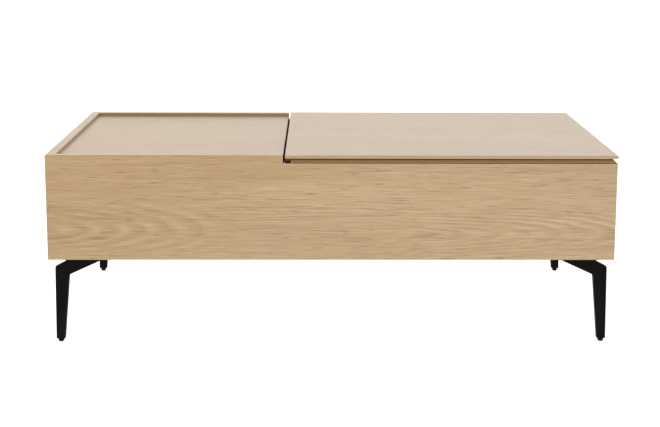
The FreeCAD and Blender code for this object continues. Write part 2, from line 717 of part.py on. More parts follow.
# The cross tube keeps both sides level. A plug in each end takes the bolt that holds it to the arm.
tubeStart, tubeEnd = unitX("left", "armFar"), unitX("right", "armFar")
crossTube = newBody("cross_tube", x=f"({tubeStart} + {tubeEnd}) / 2", y="tubeY", z="tubeZ")
ring = newSketch(crossTube, "YZ")
drawCircle(ring, "0", "0", "tubeRadius")
drawCircle(ring, "0", "0", "tubeRadius - tubeWall")
pad(crossTube, ring, f"({tubeEnd}) - ({tubeStart})")
plug = newBody("plug", keep=False)
plugShape = newSketch(plug, "XY")
drawCircle(plugShape, "0", "0", "tubeRadius - tubeWall")
drawCircle(plugShape, "0", "0", "boltRadius")
pad(plug, plugShape, "plugLength", side="One side")
group("cross_tube_plugs", plug, [
    (unitX(name, "armFar"), "tubeY", "tubeZ", inwards[name]) for name in sides
])
bolt = turnedPin("bolt", [
    ("armNear - boltHead", "armNear", "boltHeadRadius"), ("armNear", "armFar + plugLength", "boltRadius"),
])
group("cross_tube_bolts", bolt, [
    (unitX(name, "0"), "tubeY", "tubeZ", inwards[name]) for name in sides
])

# ---- gas struts
eyeNear, eyeFar = "strutSide - eyeThick / 2", "strutSide + eyeThick / 2"
strutHead = [(eyeFar + " + axialPlay", eyeFar + " + axialPlay + eyeHead", "eyeShoulder")]
strutBasePin = turnedPin("strutBasePin", [
    ("0", "steel", "pinRadius"), ("steel", eyeNear + " - axialPlay", "eyeShoulder"),
    (eyeNear + " - axialPlay", eyeFar + " + axialPlay", "eyePin"),
] + strutHead)
group("strut_base_pins", strutBasePin, [
    (unitX(name, "0"), "strutBaseY", "strutBaseZ", inwards[name]) for name in sides
])
strutArmPin = turnedPin("strutArmPin", [
    ("armNear", "armFar", "eyePin"), ("armFar", eyeNear + " - axialPlay", "eyeShoulder"),
    (eyeNear + " - axialPlay", eyeFar + " + axialPlay", "eyePin"),
] + strutHead)
group("strut_arm_pins", strutArmPin, [
    (unitX(name, "0"), "strutArmY", "strutArmZ", inwards[name]) for name in sides
])


def strutEye(label, side, y, z, direction):
    """The eye at one end of a strut: a disc on the pin and a stem along the strut, up (1) or down (-1)."""
    body = newBody(label, unitX(side, "strutSide"), y, z, angle="strutLean")
    disc = newSketch(body, "YZ")
    drawCircle(disc, "0", "0", "eyeRadius")
    pad(body, disc, "eyeThick")
    stem = newSketch(body, "XY")
    drawCircle(stem, "0", "0", "eyeStem")
    pad(body, stem, "eyeStemLength", side="One side", reverse=direction < 0)
    bore = newSketch(body, "YZ")
    drawCircle(bore, "0", "0", "eyePin + rodFit")
    cut(body, bore)


def turned(label, side, y, z, outline):
    body = newBody(label, unitX(side, "strutSide"), y, z, angle="strutLean")
    revolve(body, outline, "V_Axis")


for name in sides:
    base = (name, "strutBaseY", "strutBaseZ")
    arm = (name, "strutArmY", "strutArmZ")
    bore = "strutRadius - strutWall"
    strutEye(f"strut_tube_eye_{name}", *base, 1)
    turned(f"strut_tube_{name}", *base, [
        ("0", "eyeStemLength"), ("strutRadius", "eyeStemLength"), ("strutRadius", "strutMouth"),
        (bore, "strutMouth"), (bore, "eyeStemLength + strutEnd"), ("0", "eyeStemLength + strutEnd"),
    ])
    turned(f"strut_gland_{name}", *base, [
        ("rodRadius + rodFit", "strutMouth - glandLength"), (bore, "strutMouth - glandLength"),
        (bore, "strutMouth"), ("rodRadius + rodFit", "strutMouth"),
    ])
    strutEye(f"strut_rod_eye_{name}", *arm, -1)
    turned(f"strut_rod_{name}", *arm, [
        ("0", "0 - eyeStemLength"), ("rodRadius", "0 - eyeStemLength"), ("rodRadius", "0 - rodEnd"),
        ("0", "0 - rodEnd"),
    ])
    turned(f"strut_piston_{name}", *arm, [
        ("rodRadius", "pistonLength - rodEnd"), (f"{bore} - pistonFit", "pistonLength - rodEnd"),
        (f"{bore} - pistonFit", "0 - rodEnd"), ("rodRadius", "0 - rodEnd"),
    ])

doc.recompute()
for item in doc.Objects:
    if "Invalid" in item.State or "Error" in item.State:
        raise RuntimeError(f"{item.Label} failed: {item.State}")
for node in nodes:
    if node.Shape.isNull() or not node.Shape.isValid() or not node.Shape.Solids:
        raise RuntimeError(node.Label + " has no valid solid")
os.makedirs("parts", exist_ok=True)
for node in nodes:
    node.Shape.exportStep(f"parts/{node.Label}.step")
print(len(nodes), "nodes,", sum(len(node.Shape.Solids) for node in nodes), "solids")
for name in (
    "frontY", "frontZ", "rearY", "rearZ", "upperFrontY", "upperFrontZ", "strutBaseY", "strutBaseZ",
    "strutArmY", "strutArmZ", "strutClosed",
):
    print(name, round(value(name), 3))
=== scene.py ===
import json
import math

import bmesh
import bpy
from mathutils import Matrix, Vector


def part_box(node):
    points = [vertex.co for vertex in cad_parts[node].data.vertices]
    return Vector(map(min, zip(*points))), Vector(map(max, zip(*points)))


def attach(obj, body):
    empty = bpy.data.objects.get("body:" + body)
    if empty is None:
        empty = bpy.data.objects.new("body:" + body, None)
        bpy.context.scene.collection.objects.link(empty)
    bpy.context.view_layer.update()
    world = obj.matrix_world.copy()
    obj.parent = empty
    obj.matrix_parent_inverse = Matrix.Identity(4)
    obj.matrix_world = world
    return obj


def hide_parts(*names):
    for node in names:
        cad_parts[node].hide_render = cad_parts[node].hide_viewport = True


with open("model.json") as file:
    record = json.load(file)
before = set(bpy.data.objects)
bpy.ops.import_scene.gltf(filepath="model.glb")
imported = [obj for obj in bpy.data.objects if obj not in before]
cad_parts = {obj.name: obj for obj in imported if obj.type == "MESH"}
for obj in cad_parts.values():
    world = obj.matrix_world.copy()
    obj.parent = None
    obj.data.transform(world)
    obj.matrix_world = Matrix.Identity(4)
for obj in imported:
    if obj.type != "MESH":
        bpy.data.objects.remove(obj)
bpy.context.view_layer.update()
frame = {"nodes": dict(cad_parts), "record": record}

nodes = frame["nodes"]
print("frame loaded:", len(nodes), "pieces")


# A socket that arithmetic works on. Each operator adds one Math node, and node() adds any other.
class Wire:
    def __init__(self, tree, socket=None):
        self.tree = tree
        self.socket = socket

    # settings go in first; stops fill a colour ramp, and inlets are values or other wires
    def node(self, kind, settings=None, inlets=None, outlet=0):
        made = self.tree.nodes.new(kind)
        settings = dict(settings or {})
        stops = settings.pop("stops", None)
        for name, setting in settings.items():
            setattr(made, name, setting)
        if stops:
            ramp = made.color_ramp
            while len(ramp.elements) < len(stops):
                ramp.elements.new(0.5)
            for element, (spot, colour) in zip(ramp.elements, stops):
                element.position = spot
                element.color = (*colour, 1)
        for name, given in (inlets or {}).items():
            if isinstance(given, Wire):
                self.tree.links.new(given.socket, made.inputs[name])
            else:
                made.inputs[name].default_value = given
        return Wire(self.tree, made.outputs[outlet])

    def maths(self, operation, *given):
        return self.node("ShaderNodeMath", {"operation": operation}, dict(enumerate(given)))

    def __add__(self, other):
        return self.maths("ADD", self, other)

    def __sub__(self, other):
        return self.maths("SUBTRACT", self, other)

    def __rsub__(self, other):
        return self.maths("SUBTRACT", other, self)

    def __mul__(self, other):
        return self.maths("MULTIPLY", self, other)

    def __truediv__(self, other):
        return self.maths("DIVIDE", self, other)

    def __gt__(self, other):
        return self.maths("GREATER_THAN", self, other)

    def __lt__(self, other):
        return self.maths("LESS_THAN", self, other)

    __radd__ = __add__
    __rmul__ = __mul__

    def size(self):
        return self.maths("ABSOLUTE", self)

    def lesser(self, other):
        return self.maths("MINIMUM", self, other)

    def greater(self, other):
        return self.maths("MAXIMUM", self, other)

    def root(self):
        return self.maths("SQRT", self)

    def part(self):
        return self.maths("FRACT", self)

    # slides from 0 to 1 as the value goes from low to high
    def between(self, low, high):
        settings = {"interpolation_type": "SMOOTHSTEP"}
        inlets = {"Value": self, "From Min": low, "From Max": high}
        return self.node("ShaderNodeMapRange", settings, inlets)

    def split(self):
        parts = self.node("ShaderNodeSeparateXYZ", {}, {"Vector": self}).socket.node
        return [Wire(self.tree, outlet) for outlet in parts.outputs]

    def noise(self, x, y, z, detail=2.0, roughness=0.5, seed=0.0):
        point = self.node("ShaderNodeCombineXYZ", {}, {"X": x, "Y": y, "Z": z})
        return self.node(
            "ShaderNodeTexNoise", {"noise_dimensions": "4D"},
            {"Vector": point, "W": seed, "Scale": 1.0, "Detail": detail, "Roughness": roughness},
        )

    def ramp(self, *stops):
        return self.node("ShaderNodeValToRGB", {"stops": stops}, {"Fac": self})

    def mixed(self, first, second):
        return self.node("ShaderNodeMix", {"data_type": "RGBA"}, {0: self, 6: first, 7: second}, 2)

    def tinted(self, colour, tint):
        settings = {"data_type": "RGBA", "blend_type": "MULTIPLY"}
        return self.node("ShaderNodeMix", settings, {0: self, 6: colour, 7: tint}, 2)


# turns a screen colour, 0 to 255 and not near black, into the linear values that shaders use
def paint(red, green, blue):
    return tuple(((shade / 255 + 0.055) / 1.055) ** 2.4 for shade in (red, green, blue))


# a material with one Principled shader, whose fixed values are set straight on its sockets
def newMaterial(name, fixed, recipe):
    material = bpy.data.materials.new(name)
    material.use_nodes = True
    tree = material.node_tree
    shader = tree.nodes["Principled BSDF"]
    for socket, amount in fixed.items():
        shader.inputs[socket].default_value = amount
    for socket, wire in recipe(Wire(tree)).items():
        tree.links.new(wire.socket, shader.inputs[socket])
    return material


def bump(start, height, distance, strength=1.0):
    inlets = {"Height": height, "Distance": distance, "Strength": strength}
    return start.node("ShaderNodeBump", {}, inlets)


flatFace = 0.8  # a face looks along an axis when its normal has at least this much of it


# a point's place on a board, and how far it is along the grain and across it
def grainPlace(start, grainAlong):
    place = start.node("ShaderNodeTexCoord", {}, {}, "Object").split()
    facing = [axis.size() for axis in start.node("ShaderNodeTexCoord", {}, {}, "Normal").split()]
    along, other = (0, 1) if grainAlong == "X" else (1, 0)
    onEnd = facing[along] > flatFace
    onTop = facing[2] > flatFace
    u = place[along] + (place[other] - place[along]) * onEnd
    v = place[2] + (place[other] - place[2]) * onTop * (1 - onEnd)
    return place, u, v


# how far a point on a piece is from the nearest edge of the piece's box
def edgeDistance(place, low, high):
    a, b, c = [(place[i] - low[i]).lesser(high[i] - place[i]) for i in range(3)]
    return a.lesser(b).greater(a.greater(b).lesser(c))


# the bevels under the lid's lip, cut through the veneer: the core's brown, partly its stain and partly
# painted shade under the lip, with painted shade lines along both edges, and painted shade on the relief
# where the bevel ends beside the tray
bevel = {
    "depth": 0.0085, "core": (0.43, 0.25, 0.115), "line": (0.06, 0.025, 0.009),
    "footShadeWidth": 0.0018, "lipShadeWidth": 0.0028, "fade": 0.0012, "lipShadeStrength": 0.85,
    "reliefBefore": 0.004, "reliefLength": 0.011, "reliefBelow": 0.001, "leastSlant": 0.6, "mostSlant": 0.8,
    "panelFace": 0.9,
}


def withBevel(start, place, wood):
    facing = start.node("ShaderNodeTexCoord", {}, {}, "Normal").split()
    onBevel = (facing[2] > bevel["leastSlant"]) * (facing[2] < bevel["mostSlant"])
    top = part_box("right_panel")[1][2]
    rise = place[2] - (top - bevel["depth"])
    # painted shade: a dark line along the foot of the bevel and another just under the lid's lip
    footShade = 1 - rise.between(bevel["footShadeWidth"] - bevel["fade"], bevel["footShadeWidth"])
    head = (place[2] - (top - bevel["lipShadeWidth"])).between(0.0, bevel["fade"])
    shadeLines = footShade.greater(head * bevel["lipShadeStrength"])
    core = shadeLines.mixed((*bevel["core"], 1), (*bevel["line"], 1))
    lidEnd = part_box("lid_panel")[0][0]
    # painted shade: the relief floor beside the tray, deep under the lid, is painted dark
    reliefShade = (place[0] > lidEnd - bevel["reliefBefore"]) * (place[0] < lidEnd + bevel["reliefLength"])
    reliefShade = reliefShade * (place[2] > top - bevel["depth"] - bevel["reliefBelow"])
    reliefShade = reliefShade * (facing[1].size() < bevel["panelFace"])
    return reliefShade.mixed(onBevel.mixed(wood, core), (*bevel["line"], 1))


caseMiddle = sum(corner[2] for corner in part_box("front_panel")) / 2
oak = {
    "dark": (0.345, 0.220, 0.110), "body": (0.487, 0.333, 0.178), "pale": (0.62, 0.46, 0.28),
    "warm": (0.92, 0.87, 0.785), "edge": (0.36, 0.215, 0.095), "edgeWidth": 0.0022, "edgeStrength": 0.55,
    "archBend": 0.12, "archFade": 0.1, "wander": 0.02, "ripple": 0.002, "flow": 0.012, "cloudReach": 0.7,
    "roughness": 0.34, "poreDepth": 0.00006,
}
# layers of noise: the scale along and across the grain, detail, roughness and what is added to the seed
oakLayers = {
    "wander": (2.4, 9.0, 2.0, 0.5, 0.0), "ripple": (14.0, 60.0, 2.0, 0.6, 3.1),
    "patches": (4.0, 40.0, 1.0, 0.5, 7.7), "streaks": (2.8, 150.0, 3.0, 0.6, 1.3),
    "threads": (12.0, 480.0, 2.0, 0.6, 8.8), "broad": (1.0, 11.0, 2.0, 0.5, 5.9),
    "fibres": (30.0, 1500.0, 2.0, 0.6, 2.2), "pores": (30.0, 560.0, 1.0, 0.5, 4.6),
    "cloud": (1.6, 8.0, 1.0, 0.5, 9.5), "wear": (25.0, 25.0, 2.0, 0.6, 6.4),
}
# how strongly each layer shows in the tone
oakTone = {"streaks": 0.42, "threads": 0.8, "rings": 0.23, "broad": 0.36, "fibres": 0.4, "pores": 0.34}


def grainLayer(start, name, u, v, seed):
    along, across, detail, roughness, shift = oakLayers[name]
    return start.noise(u * along, v * across, 0.0, detail, roughness, seed + shift)


# one row of arches: growth rings cut at a slant, each a pale line with a darker one behind it
def archLines(u, v, wander, ripple, arch):
    height, begin, end, spacing, gap, weight = arch
    across = v - height + wander * oak["wander"] + ripple * oak["ripple"]
    reach = u - begin
    depth = (reach + (reach * reach + oak["archBend"] ** 2).root()) * (0.5 * gap / spacing)
    radius = (across * across + depth * depth).root() / gap
    ring = (radius + wander * 1.6 + ripple * 0.3).part()
    line = ring.between(0.0, 0.35) * (1 - ring.between(0.35, 0.6)) - ring.between(0.6, 0.95) * 0.7
    shown = (1 - across.size().between(0.015, 0.07)) * (1 - u.between(end, end + oak["archFade"]))
    return line * shown * u.between(begin - oak["archFade"], begin + oak["archFade"]) * weight


# oak veneer with rows of arches along the grain; each row is (its height, where it begins and ends, the
# distance between the arches along the grain and across it, how strongly it shows). warmSpan is where the
# board passes from its warm end to its pale end, and how much that place leans with height; where a lean is
# given it paints the upper part darker and warmer, as painted shade. The last argument is the X facing, 1 or
# -1, of an end painted dark like the bevels, as painted shade for the gap between the lid and the tray
def oakMaterial(
    name, grainAlong, seed, arches, contrast=1.0, bevelled=False, warmSpan=(-0.5, 0.5, 0.0), gapShadeEnd=0
):
    low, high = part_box(name)

    def recipe(start):
        place, u, v = grainPlace(start, grainAlong)
        wander = grainLayer(start, "wander", u, v, seed) - 0.5
        ripple = grainLayer(start, "ripple", u, v, seed) - 0.5
        rings = 0.0
        for arch in arches:
            rings = rings + archLines(u, v, wander, ripple, arch)
        patches = grainLayer(start, "patches", u, v, seed).between(0.32, 0.56)
        flow = v + wander * oak["flow"]
        streaks = grainLayer(start, "streaks", u, flow, seed) - 0.5
        threads = grainLayer(start, "threads", u, flow, seed) - 0.5
        broad = grainLayer(start, "broad", u, v, seed) - 0.5
        fibres = grainLayer(start, "fibres", u, v, seed)
        pores = grainLayer(start, "pores", u, flow, seed).between(0.6, 0.7)
        tone = 0.5 + contrast * (
            streaks * oakTone["streaks"] + threads * oakTone["threads"]
            + rings * (0.25 + patches * 0.75) * oakTone["rings"] + broad * oakTone["broad"]
            + (fibres - 0.5) * oakTone["fibres"] - pores * oakTone["pores"]
        )
        wood = tone.ramp((0.12, oak["dark"]), (0.5, oak["body"]), (0.88, oak["pale"]))
        cloud = grainLayer(start, "cloud", u, v, seed) - 0.5
        warmEnd, paleEnd, topShadeLean = warmSpan
        # the warm tint is wood tone; its lean with height is painted shade, making the upper part darker and
        # warmer
        warmth = 1 - (u + cloud * oak["cloudReach"] - (v - caseMiddle) * topShadeLean).between(warmEnd, paleEnd)
        wood = warmth.tinted(wood, (*oak["warm"], 1))
        edge = 1 - edgeDistance(place, low, high).between(0.0, oak["edgeWidth"])
        worn = edge * (0.25 + 0.75 * grainLayer(start, "wear", u, v, seed)) * oak["edgeStrength"]
        colour = worn.mixed(wood, (*oak["edge"], 1))
        if bevelled:
            colour = withBevel(start, place, colour)
        if gapShadeEnd:
            # painted shade: the end face beside the gap between the lid and the tray is painted dark
            facing = start.node("ShaderNodeTexCoord", {}, {}, "Normal").split()
            onGapShade = facing[0] * gapShadeEnd > flatFace
            colour = onGapShade.mixed(colour, (*bevel["line"], 1))
        roughness = oak["roughness"] + streaks * 0.14 + pores * 0.12 + worn * 0.15
        height = fibres * 0.35 - pores
        return {"Base Color": colour, "Roughness": roughness, "Normal": bump(start, height, oak["poreDepth"])}

    return newMaterial("oak_" + name, {"IOR": 1.5}, recipe)


innerWood = {
    "dark": paint(168, 132, 92), "pale": paint(206, 174, 132), "darkAt": 0.25, "paleAt": 0.7,
    "roughness": 0.6, "fibreDepth": 0.00005,
}


# the plain boards inside and the softwood battens, with straight quiet grain
def plainWoodMaterial(name, grainAlong, seed, warmth=1.0):
    def recipe(start):
        place, u, v = grainPlace(start, grainAlong)
        streaks = start.noise(u * 4.0, v * 120.0, 0.0, 3.0, 0.6, seed)
        fibres = start.noise(u * 30.0, v * 900.0, 0.0, 2.0, 0.6, seed + 2.0)
        broad = start.noise(u * 1.5, v * 16.0, 0.0, 1.0, 0.5, seed + 4.0)
        tone = streaks * 0.5 * warmth + broad * 0.3 + fibres * 0.2
        stops = [(innerWood["darkAt"], innerWood["dark"]), (innerWood["paleAt"], innerWood["pale"])]
        colour = tone.ramp(*stops)
        roughness = innerWood["roughness"] + (fibres - 0.5) * 0.15
        relief = bump(start, fibres, innerWood["fibreDepth"])
        return {"Base Color": colour, "Roughness": roughness, "Normal": relief}

    return newMaterial(name, {"IOR": 1.5}, recipe)


powder = {
    "black": (0.003, 0.003, 0.0025), "worn": (0.01, 0.01, 0.009), "roughness": 0.6, "shine": 0.07,
    "scuffTop": 0.06, "peelScale": 900.0, "peelDepth": 0.00004,
}


# powder coat: an orange-peel skin with faint handling marks, and scuffs near the floor
def powderMaterial(name):
    def recipe(start):
        x, y, z = start.node("ShaderNodeTexCoord", {}, {}, "Object").split()
        peel = start.noise(*[axis * powder["peelScale"] for axis in (x, y, z)], 1.0, 0.5)
        marks = start.noise(x * 30.0, y * 30.0, z * 12.0, 3.0, 0.6, 2.0).between(0.45, 0.8)
        scuffs = start.noise(x * 160.0, y * 160.0, z * 320.0, 3.0, 0.7, 4.0).between(0.55, 0.7)
        worn = marks * 0.5 + scuffs * (1 - z.between(0.0, powder["scuffTop"])) * 0.8
        colour = worn.mixed((*powder["black"], 1), (*powder["worn"], 1))
        roughness = powder["roughness"] + (peel - 0.5) * 0.14 - worn * 0.1
        relief = bump(start, peel, powder["peelDepth"], 0.5)
        return {"Base Color": colour, "Roughness": roughness, "Normal": relief}

    return newMaterial(name, {"IOR": 1.5, "Specular IOR Level": powder["shine"]}, recipe)


metalSkin = {"cloudScale": 60.0, "fineScale": 1500.0, "fineDepth": 0.00001}


# plated, chromed or painted metal, a little cloudy and finely pitted
def metalMaterial(name, colour, roughness, metallic=1.0, mottle=0.12):
    def recipe(start):
        place = start.node("ShaderNodeTexCoord", {}, {}, "Object").split()
        cloud = start.noise(*[axis * metalSkin["cloudScale"] for axis in place], 3.0, 0.6)
        fine = start.noise(*[axis * metalSkin["fineScale"] for axis in place], 1.0, 0.5)
        darker = tuple(c * (1 - 2 * mottle) for c in colour)
        shade = cloud.between(0.3, 0.7).mixed((*darker, 1), (*colour, 1))
        gloss = roughness + (cloud - 0.5) * mottle + (fine - 0.5) * 0.05
        relief = bump(start, fine, metalSkin["fineDepth"], 0.4)
        return {"Base Color": shade, "Roughness": gloss, "Normal": relief}

    return newMaterial(name, {"Metallic": metallic}, recipe)


plasticSkin = {"grainScale": 1800.0, "scuffScale": 90.0, "grainDepth": 0.00003}


# moulded plastic and rubber, with a fine spark-eroded texture
def plasticMaterial(name, colour, roughness, shine=0.5):
    def recipe(start):
        place = start.node("ShaderNodeTexCoord", {}, {}, "Object").split()
        grain = start.noise(*[axis * plasticSkin["grainScale"] for axis in place], 2.0, 0.5)
        scuff = start.noise(*[axis * plasticSkin["scuffScale"] for axis in place], 3.0, 0.7).between(0.5, 0.8)
        lighter = tuple(min(1.0, c * 1.5 + 0.01) for c in colour)
        shade = scuff.mixed((*colour, 1), (*lighter, 1))
        gloss = roughness + (grain - 0.5) * 0.12
        relief = bump(start, grain, plasticSkin["grainDepth"], 0.5)
        return {"Base Color": shade, "Roughness": gloss, "Normal": relief}

    return newMaterial(name, {"IOR": 1.46, "Specular IOR Level": shine}, recipe)


blackSteel = powderMaterial("black_powder_coat")
zincSteel = metalMaterial("zinc_plate", (0.56, 0.56, 0.57), 0.34)
chromedRod = metalMaterial("chromed_rod", (0.74, 0.74, 0.76), 0.12, mottle=0.04)
strutPaint = metalMaterial("strut_paint", (0.012, 0.012, 0.013), 0.3, metallic=0.0)
blackPlastic = plasticMaterial("black_plastic", (0.006, 0.006, 0.006), 0.55, 0.1)
nylon = plasticMaterial("natural_nylon", (0.7, 0.69, 0.64), 0.45)
softPad = plasticMaterial("soft_pad", (0.04, 0.036, 0.033), 0.85)
softwood = plainWoodMaterial("softwood", "X", 31.0)
softwoodY = plainWoodMaterial("softwood_across", "Y", 37.0)
innerBoard = plainWoodMaterial("inner_board", "X", 41.0, 0.9)

woodFor = {
    # the front panel's warm span leans with height: painted shade, darker and warmer towards the top
    "front_panel": oakMaterial("front_panel", "X", 2.0, [
        (0.221, 0.14, 0.6, 0.052, 0.006, 1.0), (0.229, -0.62, -0.28, 0.055, 0.009, 0.75),
        (0.262, -0.2, 0.1, 0.2, 0.0055, 0.6),
    ], bevelled=True, warmSpan=(-0.5, 0.0, 3.0)),
    "back_panel": oakMaterial("back_panel", "X", 12.0, [
        (0.262, -0.5, -0.12, 0.062, 0.006, 0.7), (0.215, 0.05, 0.5, 0.09, 0.006, 0.6),
    ], bevelled=True),
    "left_panel": oakMaterial("left_panel", "Y", 22.0, [(0.255, -0.2, 0.24, 0.058, 0.006, 0.65)]),
    "right_panel": oakMaterial("right_panel", "Y", 32.0, [
        (0.24, -0.28, 0.1, 0.064, 0.006, 0.65),
    ], bevelled=True),
    # the tray board's right end and the lid's left end carry painted shade for the gap between them
    "tray_board": oakMaterial(
        "tray_board", "X", 42.0, [(0.02, -0.5, -0.15, 0.07, 0.008, 0.9)], 0.5, gapShadeEnd=1,
    ),
    "lid_panel": oakMaterial("lid_panel", "X", 52.0, [
        (-0.06, 0.0, 0.4, 0.07, 0.008, 0.9), (0.12, -0.1, 0.2, 0.1, 0.008, 0.6),
    ], 0.5, gapShadeEnd=-1),
    "divider": plainWoodMaterial("divider_board", "Y", 62.0, 0.9),
    "bottom_panel": innerBoard,
    "tray_batten_front": softwood,
    "tray_batten_back": softwood,
    "tray_batten_left": softwoodY,
    "corner_blocks": softwood,
    "divider_dowels": softwood,
}


def wear(name, material):
    piece = nodes[name]
    piece.data.materials.clear()
    piece.data.materials.append(material)


for name, material in woodFor.items():
    wear(name, material)
slotMaterials = {
    "black_steel": blackSteel, "zinc_steel": zincSteel, "chromed_rod": chromedRod,
    "black_plastic": blackPlastic, "nylon": nylon, "rubber_pad": softPad,
}
slotOf = {row["node"]: row["material_slot"] for row in frame["record"]["subparts"]}
for name, slot in slotOf.items():
    if slot in slotMaterials:
        wear(name, slotMaterials[slot])
for side in ("left", "right"):
    wear(f"strut_tube_{side}", strutPaint)
print("materials made:", len(bpy.data.materials))


joinWithin = 1e-6  # metres
onAxis = 1e-7
sharpAngle = math.radians(35)


# the separate solids of one CAD node, each as its lowest and highest corner
def solidsOf(name):
    shape = bmesh.new()
    shape.from_mesh(nodes[name].data)
    bmesh.ops.remove_doubles(shape, verts=shape.verts, dist=joinWithin)
    left = set(shape.verts)
    found = []
    while left:
        seed = left.pop()
        island, edge = [seed], [seed]
        while edge:
            vertex = edge.pop()
            for link in vertex.link_edges:
                other = link.other_vert(vertex)
                if other in left:
                    left.remove(other)
                    island.append(other)
                    edge.append(other)
        low = Vector(min(v.co[i] for v in island) for i in range(3))
        high = Vector(max(v.co[i] for v in island) for i in range(3))
        found.append((low, high))
    shape.free()
    return sorted(found, key=lambda corners: tuple(round(c, 5) for c in corners[0]))


# a turned piece about its own Z, from (distance, radius) steps; the ends that reach the axis are closed
def turnedMesh(name, steps, segments=32):
    shape = bmesh.new()
    rings = []
    for height, radius in steps:
        if radius < onAxis:
            rings.append([shape.verts.new((0, 0, height))])
            continue
        turn = [2 * math.pi * i / segments for i in range(segments)]
        circle = [(radius * math.cos(angle), radius * math.sin(angle), height) for angle in turn]
        rings.append([shape.verts.new(point) for point in circle])
    for lower, upper in zip(rings, rings[1:]):
        for i in range(segments):
            j = (i + 1) % segments
            if len(lower) == 1:
                shape.faces.new((lower[0], upper[j], upper[i]))
            elif len(upper) == 1:
                shape.faces.new((lower[i], lower[j], upper[0]))
            else:
                shape.faces.new((lower[i], lower[j], upper[j], upper[i]))
    bmesh.ops.recalc_face_normals(shape, faces=shape.faces)
    mesh = bpy.data.meshes.new(name)
    shape.to_mesh(mesh)
    shape.free()
    for face in mesh.polygons:
        face.use_smooth = True
    mesh.set_sharp_from_angle(angle=sharpAngle)
    return bpy.data.objects.new(name, mesh)


# puts a template piece on every point of a mesh, turned to the point's facing, with a seeded spin about it
def scatterTree():
    tree = bpy.data.node_groups.new("piecesOnPoints", "GeometryNodeTree")
    sockets = {
        "Points": "NodeSocketGeometry", "Piece": "NodeSocketObject", "Spin": "NodeSocketFloat",
        "Seed": "NodeSocketInt", "Finish": "NodeSocketMaterial",
    }
    for name, kind in sockets.items():
        tree.interface.new_socket(name, in_out="INPUT", socket_type=kind)
    tree.interface.new_socket("Pieces", in_out="OUTPUT", socket_type="NodeSocketGeometry")
    start = Wire(tree)
    given = start.node("NodeGroupInput").socket.node
    inlet = {name: Wire(tree, given.outputs[name]) for name in sockets}
    vectors = {"data_type": "FLOAT_VECTOR"}
    facing = start.node("GeometryNodeInputNamedAttribute", vectors, {"Name": "facing"})
    turn = start.node("FunctionNodeAlignRotationToVector", {"axis": "Z"}, {"Vector": facing})
    model = start.node("GeometryNodeObjectInfo", {}, {"Object": inlet["Piece"]}, "Geometry")
    placing = {"Points": inlet["Points"], "Instance": model, "Rotation": turn}
    placed = start.node("GeometryNodeInstanceOnPoints", {}, placing)
    spin = start.node(
        "FunctionNodeRandomValue", {"data_type": "FLOAT"},
        {"Min": 0.0, "Max": inlet["Spin"], "Seed": inlet["Seed"]}, 1,
    )
    angle = start.node("ShaderNodeCombineXYZ", {}, {"Z": spin})
    euler = start.node("FunctionNodeEulerToRotation", {}, {0: angle})
    spun = start.node("GeometryNodeRotateInstances", {}, {"Instances": placed, "Rotation": euler})
    real = start.node("GeometryNodeRealizeInstances", {}, {"Geometry": spun})
    done = start.node("GeometryNodeSetMaterial", {}, {"Geometry": real, "Material": inlet["Finish"]})
    outlet = tree.nodes.new("NodeGroupOutput")
    tree.links.new(done.socket, outlet.inputs["Pieces"])
    return tree


scatter = scatterTree()
templates = []


# a group of small parts in place of a CAD node; places are (point, facing) pairs
def scatterPieces(name, node, model, places, material, spin=0.0, seed=1):
    points = bpy.data.meshes.new(name)
    points.from_pydata([tuple(point) for point, _ in places], [], [])
    facing = points.attributes.new("facing", "FLOAT_VECTOR", "POINT")
    for i, (_, direction) in enumerate(places):
        facing.data[i].vector = direction
    piece = bpy.data.objects.new(name, points)
    bpy.context.scene.collection.objects.link(piece)
    modifier = piece.modifiers.new("pieces", "NODES")
    modifier.node_group = scatter
    items = [item for item in scatter.interface.items_tree if item.in_out == "INPUT"]
    sockets = {item.name: item.identifier for item in items}
    for label, given in (("Piece", model), ("Spin", spin), ("Seed", seed), ("Finish", material)):
        modifier[sockets[label]] = given
    shown = piece.evaluated_get(bpy.context.evaluated_depsgraph_get())
    mesh = bpy.data.meshes.new_from_object(shown)
    piece.modifiers.remove(modifier)
    piece.data = mesh
    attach(piece, bodyOf(node))
    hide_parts(node)
    return piece


def bodyOf(node):
    bodies = frame["record"]["behaviour"]["bodies"]
    return next(body for body, members in bodies.items() if node in members)


def asTemplate(piece):
    bpy.context.scene.collection.objects.link(piece)
    templates.append(piece)
    return piece


screw = {
    "headRadius": 0.0039, "coreRadius": 0.0019, "headHeight": 0.002, "rim": 0.0003,
    "slotLength": 0.0042, "slotWidth": 0.0009, "slotDepth": 0.0013, "short": 0.014, "long": 0.030,
    "segments": 24,
}


# a countersunk screw, head at the origin and point up, with a cross cut in the head
def screwTemplate(name, length):
    body = turnedMesh(name, [
        (0, 0), (0, screw["headRadius"] - screw["rim"]), (screw["rim"], screw["headRadius"]),
        (screw["headHeight"], screw["coreRadius"]), (length - screw["headHeight"], screw["coreRadius"]),
        (length, 0),
    ], screw["segments"])
    asTemplate(body)
    for turn in (0, 90):
        bpy.ops.mesh.primitive_cube_add(size=1)
        cutter = bpy.context.object
        size = (screw["slotLength"], screw["slotWidth"], 2 * screw["slotDepth"])
        cutter.data.transform(Matrix.Rotation(math.radians(turn), 4, "Z") @ Matrix.Diagonal((*size, 1)))
        cutModifier = body.modifiers.new("cross", "BOOLEAN")
        cutModifier.object = cutter
        cutModifier.solver = "EXACT"
        cutBody = body.evaluated_get(bpy.context.evaluated_depsgraph_get())
        mesh = bpy.data.meshes.new_from_object(cutBody)
        body.modifiers.remove(cutModifier)
        body.data = mesh
        bpy.data.objects.remove(cutter)
    return body


